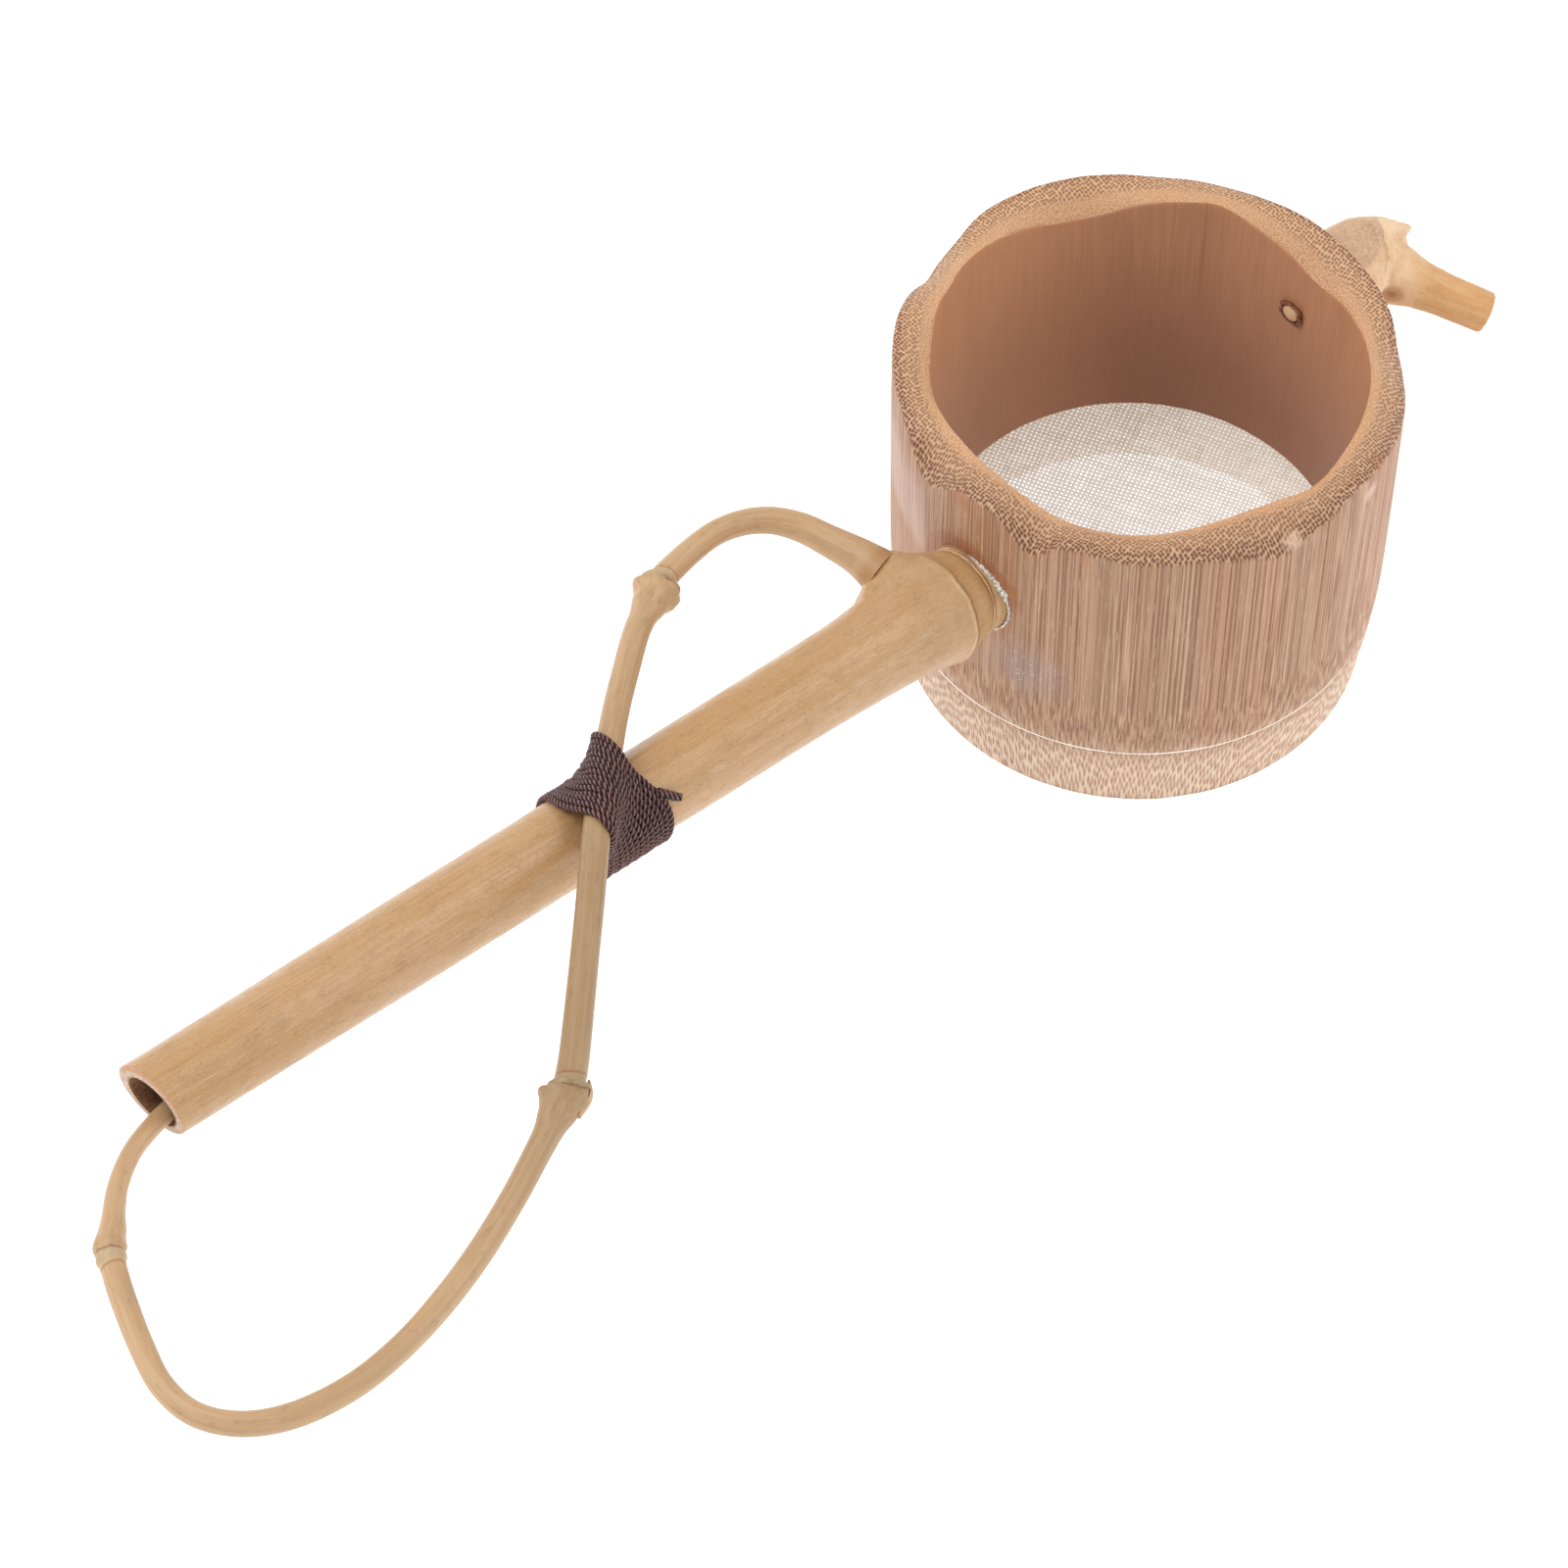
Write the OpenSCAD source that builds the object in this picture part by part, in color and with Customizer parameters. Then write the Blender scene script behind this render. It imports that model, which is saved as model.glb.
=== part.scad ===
// Bamboo tea strainer: a cup with a linen cloth floor, a long culm handle,
// a looped side branch lashed to the handle, and a twig that rests on the pot.
// Millimetres, +Z up. Origin: on the cup's axis, on the table under the base ring.
// The handle leaves towards -X, the rest twig towards +X.

/* [Cup] */
// Outside diameter of the cup
cup_d = 68.4; // [60:0.2:80]
// Inside diameter of the cup
bore_d = 57; // [48:0.2:66]
// Inside diameter of the base ring
outlet_d = 58.4; // [50:0.2:67]
// Height of the whole cup, table to highest point of the carved rim
cup_top = 54.8; // [46:0.2:64]
// Height of the base ring under the cloth
ring_h = 12.35; // [8:0.05:18]
// Thickness of the linen cloth
cloth_t = 0.3; // [0.2:0.05:0.6]
// Outside diameter of the wall where the linen is glued in
seam_d = 66.9; // [60:0.1:79]
// How far the foot of the base ring draws in below the linen
foot_taper = 1.3; // [0.5:0.1:3]
// Easing of the ring's inner edge, where the cloth goes over it
edge_ease = 0.5; // [0.3:0.05:1]

/* [Handle] */
// Height at which the handle's line meets the cup's axis
handle_z = 29.5; // [20:0.5:40]
// Upward slope of the handle, degrees
handle_tilt = 9.5; // [0:0.5:20]
// Distance from the cup's axis to the cut end of the handle
handle_end = 175; // [140:1:200]
// Radius of the hollow in the handle
handle_bore = 3.5; // [2.5:0.1:4]
// Radius of the tenon that goes through the cup wall
tenon_r = 4.2; // [3:0.1:5]

/* [Branch and cord] */
// Thickness of the looped side branch, as a factor of its usual thickness
branch_scale = 1; // [0.8:0.05:1.2]
// Turns of cord in the lashing
cord_turns = 14; // [8:1:16]
// Thickness of the cord
cord_d = 0.74; // [0.5:0.02:1]
// Distance along the handle between one turn and the next
cord_pitch = 0.84; // [0.6:0.02:1.2]
// Distance out along the handle of the first turn
cord_start = 94.5; // [90:0.1:100]

/* [Rest twig] */
// Height of the twig's peg above the table
twig_z = 41.5; // [36:0.5:46]
// Radius of the peg that goes through the cup wall
peg_r = 1.4; // [1:0.1:3]
// Length of the cut stub
stub_len = 18; // [12:0.5:30]

/* [Hidden] */
$fn = 64;
cup_r = cup_d / 2;
bore_r = bore_d / 2;
outlet_r = outlet_d / 2;
body_z = ring_h + cloth_t;
ring_r = seam_d / 2;
neck_r = 6.5;           // radius of the handle's neck at the cup
branch_r = 1.85 * branch_scale;

// which piece to show

bamboo_skin = [0.80, 0.65, 0.42];
bamboo_cut = [0.70, 0.52, 0.38];

// Each hollow of the carved rim: [direction round the cup, height at the bore,
// height at the outside, radius of the hollow]
rim_hollows = [[166, 55.6, 50.4, 22], [-164, 54.8, 51, 24], [-104, 55.2, 50.8, 22],
               [-39, 54.2, 50, 22], [-6, 50.6, 53.6, 30], [62, 51.4, 54.4, 30],
               [106, 55, 51, 20]];

// Handle outline: [distance from the cup's axis, radius]
handle_outline = [[38.5, 7.3], [40.4, 7.9], [42.5, 7.5], [46, 6.9], [50, 6.4], [56, 6.1],
                  [66, 5.85], [82, 5.7], [110, 5.6], [140, 5.45]];

// Course of the looped branch: [out along the handle, sideways, above the handle's line, radius]
branch_course = [
  [44.6, 7.4, 4.6, 3.0], [45.2, 10.6, 5.0, 2.5], [46.4, 14.8, 5.2, 2.15], [47.8, 18.6, 5.5, 2.0],
  [50.4, 21.6, 6.0, 1.85], [54, 23.4, 6.4, 1.75], [58.5, 24, 6.8, 1.7], [63.5, 23.4, 7.1, 1.75],
  [69, 22.2, 7.3, 2.1], [71, 21.4, 7.4, 2.35], [73, 20.4, 7.4, 2.0], [79.5, 17, 7.6, 1.8],
  [86, 12.4, 7.75, 1.8], [92, 7.9, 7.85, 1.8], [98, 3.0, 7.9, 1.85], [104, -2.1, 7.9, 1.85],
  [110.5, -7.9, 7.8, 1.85], [117, -14, 7.5, 1.85], [123.5, -20, 7.1, 1.85], [130, -26, 6.4, 1.9],
  [135, -30.5, 6, 2.05], [138.5, -33.2, 5.7, 2.45], [141.5, -34.8, 5.4, 2.2], [147, -37.4, 5, 1.7],
  [154, -40.6, 4.5, 1.65], [162, -43.8, 4.1, 1.65], [170, -46.3, 3.7, 1.65], [178, -48.0, 3.3, 1.6],
  [186, -48.5, 2.9, 1.6], [193.5, -47.2, 2.5, 1.6], [199, -44.2, 2.2, 1.55], [202.2, -39.6, 2, 1.5],
  [202.4, -34, 1.8, 1.5], [200.4, -28, 1.5, 1.55], [197.6, -21.6, 1.2, 1.6], [195.6, -17.6, 1.1, 1.75],
  [194, -14.8, 1, 1.95], [191.6, -12.4, 0.8, 1.6], [187, -7.8, 0.3, 1.3], [182, -4.4, -0.3, 1.25],
  [177, -2.4, -0.8, 1.25], [172, -1.4, -0.8, 1.25], [165, -0.6, -0.5, 1.2]];

// one point of a smooth curve through a, b, c, d, between b and c
function curve_point(a, b, c, d, t) = 0.5 * (2 * b + (c - a) * t
  + (2 * a - 5 * b + 4 * c - d) * t * t + (3 * b - a - 3 * c + d) * t * t * t);
// smooth list of points through the given ones
function curve(p, steps) = let (n = len(p)) [
  for (i = [0:n - 2]) for (k = [0:steps - 1])
    curve_point(p[max(i - 1, 0)], p[i], p[i + 1], p[min(i + 2, n - 1)], k / steps),
  p[n - 1]];
function place(p) = [p[2], p[1], p[0]];
function unit(v) = v / norm(v);

// A round rod along the list of points, with its own radius at each one
module rod(points, radii, sides, up) {
  n = len(points);
  rings = [for (i = [0:n - 1]) let (
      t = unit(points[min(i + 1, n - 1)] - points[max(i - 1, 0)]),
      u = is_undef(up) ? [points[i][0], points[i][1], 0] : up,
      s = unit(cross(t, u)), w = cross(s, t))
    for (k = [0:sides - 1])
      points[i] + radii[i] * (cos(360 * k / sides) * w + sin(360 * k / sides) * s)];
  polyhedron(rings, concat(
    [[for (k = [0:sides - 1]) k]],
    [for (i = [0:n - 2]) for (k = [0:sides - 1]) let (
        a = i * sides + k, b = i * sides + (k + 1) % sides) each
      [[a, a + sides, b + sides], [a, b + sides, b]]],
    [[for (k = [sides - 1:-1:0]) (n - 1) * sides + k]]));
}

// Puts a shape on the handle's line: local Z runs out along the handle, local X is up
module on_handle() translate([0, 0, handle_z]) rotate([0, handle_tilt - 90, 0]) children();
module on_twig() translate([0, 0, twig_z]) rotate([0, 90, 0]) children();

module cup_body() color(bamboo_cut) difference() {
  rotate_extrude($fn = 180) polygon([
    [bore_r, body_z], [ring_r, body_z], [(ring_r + cup_r) / 2 + 0.08, body_z + 8],
    [cup_r - 0.1, body_z + 20], [cup_r, body_z + 32], [cup_r, cup_top], [bore_r, cup_top]]);
  for (h = rim_hollows)
    rotate([0, 0, h[0]]) translate([(bore_r + cup_r) / 2, 0, (h[1] + h[2]) / 2])
      rotate([0, 90 + atan2(h[1] - h[2], cup_r - bore_r), 0]) translate([-h[3], 0, 0])
        cylinder(r = h[3], h = 24, center = true);
  on_handle() translate([0, 0, 20]) cylinder(r = tenon_r + 0.4, h = 22);
  on_twig() translate([0, 0, 20]) cylinder(r = peg_r + 0.45, h = 22);
}

module base_ring() color(bamboo_cut) rotate_extrude($fn = 180) polygon(concat(
  [[outlet_r + edge_ease, ring_h], [outlet_r, ring_h - edge_ease], [outlet_r, 0]],
  [[ring_r - foot_taper - 0.5, 0], [ring_r - foot_taper - 0.15, 0.4], [ring_r - foot_taper, 1]],
  [[ring_r - foot_taper + 0.15, 3.5], [ring_r - 0.5, 7.5], [ring_r, ring_h]]));

module gauze() color([0.93, 0.90, 0.82])
  translate([0, 0, ring_h]) cylinder(r = ring_r - 0.1, h = cloth_t, $fn = 180);

// The handle's neck sits a little high on its line where it meets the cup
module on_neck() translate([1.6, -0.8, 0]) children();

module handle() color(bamboo_skin) on_handle() difference() {
  union() {
    difference() {
      union() {
        rotate_extrude() polygon(concat(
          [[0, 36.5], [6.6, 36.5]],
          [for (p = handle_outline) [p[1], p[0]]],
          [[5.3, handle_end + 4], [0, handle_end + 4]]));
        on_neck() translate([0, 0, 30]) cylinder(r = neck_r, h = 9);
      }
      // the collar is hollowed to sit on the round cup
      rotate([0, 90 - handle_tilt, 0]) cylinder(r = cup_r + 0.1, h = 140, center = true, $fn = 180);
    }
    // tenon through the wall, its end trimmed flush with the bore
    difference() {
      translate([0, 0, 24]) cylinder(r = tenon_r, h = 15);
      rotate([0, 90 - handle_tilt, 0]) cylinder(r = bore_r + 0.2, h = 140, center = true, $fn = 180);
    }
    // shoulder the side branch grows from
    translate([0, 0, 44.4]) rotate([0, 0, -34]) rotate([-90, 0, 0]) cylinder(r1 = 4.6, r2 = 3.2, h = 7.1);
  }
  translate([0, 0, 52]) cylinder(r = handle_bore, h = 140);
  // slanting saw cut at the free end
  translate([0, 0, handle_end]) rotate([5.5, -12.9, 0]) translate([-15, -15, 0]) cube([30, 30, 20]);
}

module handle_glue() color([0.93, 0.91, 0.86]) on_handle() intersection() {
  difference() {
    on_neck() translate([0, 0, 28]) cylinder(r = neck_r + 0.6, h = 12);
    on_neck() translate([0, 0, 27]) cylinder(r = neck_r + 0.05, h = 14);
    rotate([0, 90 - handle_tilt, 0]) cylinder(r = cup_r + 0.05, h = 140, center = true, $fn = 180);
  }
  rotate([0, 90 - handle_tilt, 0]) cylinder(r = cup_r + 0.75, h = 140, center = true, $fn = 180);
}

module loop_branch() color(bamboo_skin) on_handle() {
  fine = curve(branch_course, 2);
  rod([for (p = fine) place(p)], [for (p = fine) p[3] * branch_scale], 12, [1, 0, 0]);
}

// How far the cord lies from the handle's line in direction a, where it wraps the
// handle and the branch that crosses on top of it at this distance out along the handle
function wrap(a, out) = let (
    s = 5.3 - 0.87 * (out - 95.3), hr = 5.68 + cord_d / 2 + 0.14, c = cord_d / 2 + 0.14)
  min([for (k = [-80:8:80]) let (
      t = a + k, ca = cos(t), sa = sin(t),
      reach = max(hr, 7.9 * ca + s * sa + sqrt(pow((branch_r + c) * ca, 2) + pow((2.75 + c) * sa, 2))))
    reach / cos(k)]);

module lashing() color([0.25, 0.16, 0.15]) on_handle() {
  steps = 22;
  rod([for (i = [0:steps * cord_turns]) let (
      a = 215 + 360 * i / steps, turn = i / steps,
      over = (a + 180) % 360 - 180 - 16 + 2 * turn,
      out = cord_start + cord_pitch * turn + 3.3 * exp(-pow(over / 45, 2)), r = wrap(a, out))
    [r * cos(a), r * sin(a), out]],
    [for (i = [0:steps * cord_turns]) cord_d / 2], 6);
  // the cut tail
  rotate([0, 0, -46]) translate([5.7 + cord_d / 2 + 0.2, 0, 91.4]) rotate([0, 2, 0])
    cylinder(r = cord_d / 2, h = 2.8, $fn = 24);
}

module rest_twig() color(bamboo_skin) {
  difference() {
    union() {
      // the node that sits on the cup, and its rounded outer end
      on_twig() rotate_extrude() polygon([[0, 32], [6.1, 32], [6.3, 36], [6.7, 39], [6.7, 41.5],
        [6.1, 44], [4.9, 46.2], [3.4, 48.4], [1.8, 50.2], [0, 51]]);
      // the stub
      translate([43, -1.2, twig_z - 0.3]) rotate([0, 0, -55]) rotate([0, 111.2, 0])
        rotate_extrude() polygon([[0, 0], [5.2, 0], [4.6, 4], [3.4, 7.5], [3.1, 11], [2.9, stub_len],
          [0, stub_len]]);
    }
    cylinder(r = cup_r + 0.1, h = 80, $fn = 180);
  }
  difference() {
    on_twig() translate([0, 0, 24]) cylinder(r = peg_r, h = 14);
    cylinder(r = bore_r + 0.05, h = 80, $fn = 180);
  }
}

module twig_glue() color([0.3, 0.18, 0.1]) difference() {
  on_twig() difference() {
    translate([0, 0, 24]) cylinder(r = peg_r + 0.4, h = 14);
    translate([0, 0, 23]) cylinder(r = peg_r + 0.05, h = 16);
  }
  cylinder(r = bore_r + 0.1, h = 80, $fn = 180);
  difference() {
    cylinder(r = cup_r + 20, h = 80);
    translate([0, 0, -1]) cylinder(r = cup_r - 0.1, h = 82, $fn = 180);
  }
}

cup_body();
base_ring();
gauze();
handle();
handle_glue();
loop_branch();
lashing();
rest_twig();
twig_glue();
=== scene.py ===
"""A bamboo tea strainer: carved cup on a base ring with linen between them, a long culm
handle, a side branch bent into a loop and lashed to the handle, and a short rest twig."""

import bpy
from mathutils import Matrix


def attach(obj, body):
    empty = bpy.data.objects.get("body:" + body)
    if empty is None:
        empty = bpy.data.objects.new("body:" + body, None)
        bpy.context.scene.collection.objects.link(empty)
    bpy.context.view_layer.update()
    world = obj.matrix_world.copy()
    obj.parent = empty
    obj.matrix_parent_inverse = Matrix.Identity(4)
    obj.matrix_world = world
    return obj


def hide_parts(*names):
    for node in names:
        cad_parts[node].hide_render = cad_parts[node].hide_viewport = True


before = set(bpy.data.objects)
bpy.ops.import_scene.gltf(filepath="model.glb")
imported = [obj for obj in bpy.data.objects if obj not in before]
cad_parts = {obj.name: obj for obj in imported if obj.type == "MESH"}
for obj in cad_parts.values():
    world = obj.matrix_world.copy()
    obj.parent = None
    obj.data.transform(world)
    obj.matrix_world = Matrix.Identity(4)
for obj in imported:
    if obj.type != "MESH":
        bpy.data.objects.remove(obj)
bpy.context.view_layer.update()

import math

import bpy
import numpy as np
from mathutils import Matrix, Vector, noise

MM = 0.001
TAU = math.tau

# ---------------- sizes, in millimetres

WALL_R, BORE_R, RIM_Z = 34.2, 29.2, 54.0
CARVED_Z = 38  # the knife left the wall below this height alone
CLOTH_R, CLOTH_UNDER, CLOTH_TOP = 33.42, 12.35, 12.65
THREAD_PITCH, WEAVE_TURN = 0.635, 23.4

HANDLE_Z, HANDLE_TILT = 29.5, 9.5
NECK, NECK_R = (1.75, -0.85), 6.45  # the neck's place across the handle's line, and its size
TENON_R, TENON_HOLE_R, TENON_END_R = 4.2, 4.55, 28.7
SAWN_AT, SAWN_UP, SAWN_ASIDE = 175, -12.9, 5.5  # where the far end is sawn, and its slants

# the branch where it crosses the handle: its height, and its place to the side at one
# distance out along the handle, with its drift from there
CROSSING_H, CROSSING_S, CROSSING_OUT, CROSSING_DRIFT = 7.9, 5.3, 95.3, 0.87
CORD_R, CORD_PITCH, CORD_START, CORD_TURNS = 0.43, 0.84, 94.5, 14
CORD_LAY, PLIES = 2.4, 3  # the length in which the plies go round once, and their number

TWIG_Z, PEG_HOLE_R = 41.5, 1.72
STUB_ROOT, STUB_AIM = (43, -1.2, 41.3), (0.535, -0.764, -0.360)
SPLINTER_ROOT, SPLINTER_AIM = (46.8, -1.3, 44.8), (0.94, -0.25, -0.22)
BUD = (41.2, -7.1, 40.2)

HANDLE_TURN = math.radians(HANDLE_TILT - 90)
ON_HANDLE = Matrix.Translation((0, 0, HANDLE_Z * MM)) @ Matrix.Rotation(HANDLE_TURN, 4, "Y")
ON_TWIG = Matrix.Translation((0, 0, TWIG_Z * MM)) @ Matrix.Rotation(math.pi / 2, 4, "Y")


# ---------------- hand tools


def fresh():
    """Leaves edit mode with nothing selected."""
    active = bpy.context.object
    if active and active.mode != "OBJECT":
        bpy.ops.object.mode_set(mode="OBJECT")
    bpy.ops.object.select_all(action="DESELECT")


def take(obj):
    """Selects this one piece and makes it the active one."""
    fresh()
    obj.select_set(True)
    bpy.context.view_layer.objects.active = obj
    return obj


def edit(obj):
    """Opens a piece in edit mode with all of it selected."""
    take(obj)
    bpy.ops.object.mode_set(mode="EDIT")
    bpy.ops.mesh.select_all(action="SELECT")
    return obj


def name_piece(obj, name):
    obj.name = name
    obj.data.name = name
    return obj


def new_object(name, data):
    obj = bpy.data.objects.new(name, data)
    bpy.context.scene.collection.objects.link(obj)
    return obj


def set_down(obj, place=None):
    """Moves the piece by the given matrix and puts its place into its mesh."""
    take(obj)
    if place is not None:
        obj.matrix_world = place @ obj.matrix_world
    bpy.ops.object.transform_apply(location=True, rotation=True, scale=True)
    return obj


def metres(place):
    """A place in metres from one in millimetres."""
    return tuple(part * MM for part in place)


def aimed(direction):
    """The turn that brings the upright axis to a direction."""
    return Vector(direction).normalized().to_track_quat("Z", "Y")


def join_up(obj, *others):
    """Joins the others into the first piece."""
    take(obj)
    for other in others:
        other.select_set(True)
    bpy.ops.object.join()
    return obj


def round_bar(radius, length, height=0, sides=240):
    """An upright bar with its middle at this height on the upright axis."""
    fresh()
    bpy.ops.mesh.primitive_cylinder_add(
        vertices=sides, radius=radius * MM, depth=length * MM, location=(0, 0, height * MM)
    )
    return bpy.context.object


def smoothed(obj, degrees):
    """Shades a piece smooth, apart from edges sharper than the angle."""
    take(obj)
    bpy.ops.object.shade_smooth_by_angle(angle=math.radians(degrees))
    return obj


def outward(obj):
    """Welds doubles and turns every face outwards."""
    edit(obj)
    bpy.ops.mesh.remove_doubles(threshold=0.00001)
    bpy.ops.mesh.normals_make_consistent(inside=False)
    bpy.ops.object.mode_set(mode="OBJECT")
    return obj


def turned(name, outline, sides, joined=False):
    """Turns a piece about the upright axis. The outline is a list of (radius, height) in
    millimetres. A joined outline closes on itself, any other is capped at both ends."""
    fresh()
    radius, height = outline[0]
    bpy.ops.mesh.primitive_circle_add(
        vertices=sides, radius=radius * MM, location=(0, 0, height * MM),
        fill_type="NOTHING" if joined else "NGON",
    )
    obj = name_piece(bpy.context.object, name)
    bpy.ops.object.transform_apply(location=True)
    edit(obj)
    extrude = bpy.ops.mesh.extrude_edges_move if joined else bpy.ops.mesh.extrude_region_move
    for next_radius, next_height in outline[1:]:
        extrude(TRANSFORM_OT_translate={"value": (0, 0, (next_height - height) * MM)})
        factor = next_radius / radius
        bpy.ops.transform.resize(
            value=(factor, factor, 1), center_override=(0, 0, next_height * MM)
        )
        radius, height = next_radius, next_height
    if joined:
        bpy.ops.mesh.select_all(action="DESELECT")
        bpy.ops.mesh.select_mode(type="EDGE")
        bpy.ops.mesh.select_non_manifold()
        bpy.ops.mesh.bridge_edge_loops()
        bpy.ops.mesh.select_mode(type="VERT")
    bpy.ops.object.mode_set(mode="OBJECT")
    return outward(obj)


def modified(obj, kind, **settings):
    """Puts a modifier on a piece and applies it."""
    take(obj)
    modifier = obj.modifiers.new(kind, kind)
    for key, value in settings.items():
        setattr(modifier, key, value)
    bpy.ops.object.modifier_apply(modifier=modifier.name)


def cut_away(obj, cutter):
    """Cuts the second piece out of the first and throws it away."""
    modified(obj, "BOOLEAN", operation="DIFFERENCE", solver="EXACT", object=cutter)
    bpy.data.objects.remove(cutter)
    return obj


def reshape(obj, move):
    """Moves each point of a piece, in millimetres, to where move(point) says."""
    for vertex in obj.data.vertices:
        vertex.co = move(vertex.co / MM) * MM
    obj.data.update()
    return obj


def give(obj, *finishes):
    obj.data.materials.clear()
    for finish in finishes:
        obj.data.materials.append(finish.material)


def between(x, low, high):
    """0 below low, 1 above high and a smooth rise in between."""
    t = min(max((x - low) / (high - low), 0.0), 1.0)
    return t * t * (3 - 2 * t)


def bell(x, width):
    """1 at 0, and falling away smoothly on both sides."""
    return math.exp(-(x / width) ** 2)


def lumps(x, y, z):
    """Smooth unevenness between -1 and 1, the same every time."""
    return noise.noise(Vector((x, y, z)))


def widened(point, factor):
    return Vector((point.x * factor, point.y * factor, point.z))


def round_curve(stations, angle):
    """Height at an angle from stations (angle in degrees, height) that go round the rim."""
    angle = (angle + 180) % 360 - 180
    rows = sorted(stations)
    count = len(rows)
    after = next((i for i, row in enumerate(rows) if row[0] > angle), count)
    at = []
    for i in range(after - 2, after + 2):
        at.append((rows[i % count][0] + 360 * (i // count), rows[i % count][1]))
    (a0, h0), (a1, h1), (a2, h2), (a3, h3) = at
    t = (angle - a1) / (a2 - a1)
    slope1 = (h2 - h0) / (a2 - a0) * (a2 - a1)
    slope2 = (h3 - h1) / (a3 - a1) * (a2 - a1)
    t2, t3 = t * t, t * t * t
    return (
        (2 * t3 - 3 * t2 + 1) * h1 + (t3 - 2 * t2 + t) * slope1
        + (3 * t2 - 2 * t3) * h2 + (t3 - t2) * slope2
    )


def smooth_course(stations, step):
    """A smooth line through the stations, cut every step millimetres, with what each
    station says after its place carried along."""
    stations = np.array(stations, float)
    count = len(stations)
    fine = []
    for i in range(count - 1):
        a, b, c, d = (stations[min(max(k, 0), count - 1)] for k in (i - 1, i, i + 1, i + 2))
        for t in np.linspace(0, 1, 24, endpoint=False):
            fine.append(0.5 * (2 * b + (c - a) * t + (2 * a - 5 * b + 4 * c - d) * t * t
                               + (3 * b - a - 3 * c + d) * t ** 3))
    fine.append(stations[-1])
    fine = np.array(fine)
    run = np.concatenate([[0], np.cumsum(np.linalg.norm(np.diff(fine[:, :3], axis=0), axis=1))])
    marks = np.linspace(0, run[-1], int(round(run[-1] / step)) + 1)
    course = np.array([np.interp(marks, run, fine[:, k]) for k in range(fine.shape[1])]).T
    at_station = run[::24]
    return course, marks, at_station


def grown_rod(name, course, marks, sides, section, up=None):
    """A long thin piece that follows a course of points in millimetres. section(i, angle)
    gives its radius at point i. Each point also keeps its place along and round the
    straightened piece, in the attribute grain."""
    points = course[:, :3]
    tangents = np.gradient(points, axis=0)
    tangents /= np.linalg.norm(tangents, axis=1)[:, None]
    side = np.cross(tangents[0], up if up is not None else (0.0, 0.0, 1.0))
    side /= np.linalg.norm(side)
    vertices, grain, faces = [], [], []
    for i, (point, tangent) in enumerate(zip(points, tangents)):
        if up is not None:
            side = np.cross(tangent, up)
        side = side - tangent * np.dot(side, tangent)
        side /= np.linalg.norm(side)
        top = np.cross(side, tangent)
        for k in range(sides):
            angle = TAU * k / sides
            radius = section(i, angle)
            out = math.cos(angle) * top + math.sin(angle) * side
            vertices.append((point + radius * out) * MM)
            grain.append((radius * math.cos(angle), radius * math.sin(angle), marks[i]))
    for i in range(len(points) - 1):
        for k in range(sides):
            a, b = i * sides + k, i * sides + (k + 1) % sides
            faces.append((a, a + sides, b + sides, b))
    faces.append(tuple(range(sides)))
    faces.append(tuple(reversed(range((len(points) - 1) * sides, len(points) * sides))))
    mesh = bpy.data.meshes.new(name)
    mesh.from_pydata(vertices, [], faces)
    mesh.attributes.new("grain", "FLOAT_VECTOR", "POINT").data.foreach_set(
        "vector", np.array(grain).ravel()
    )
    obj = edit(new_object(name, mesh))
    bpy.ops.mesh.normals_make_consistent(inside=False)
    bpy.ops.object.mode_set(mode="OBJECT")
    return obj


# ---------------- finishes


class Reading:
    """A number or colour that changes over a surface. Sums on it add nodes."""

    def __init__(self, finish, socket):
        self.finish, self.socket = finish, socket

    def sum(self, operation, *values):
        return self.finish.node("ShaderNodeMath", {"operation": operation}, dict(enumerate(values)))

    def __add__(self, other):
        return self.sum("ADD", self, other)

    def __sub__(self, other):
        return self.sum("SUBTRACT", self, other)

    def __rsub__(self, other):
        return self.sum("SUBTRACT", other, self)

    def __mul__(self, other):
        return self.sum("MULTIPLY", self, other)

    def __truediv__(self, other):
        return self.sum("DIVIDE", self, other)

    def __pow__(self, other):
        return self.sum("POWER", self, other)

    def __abs__(self):
        return self.sum("ABSOLUTE", self)

    __radd__, __rmul__ = __add__, __mul__


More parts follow.
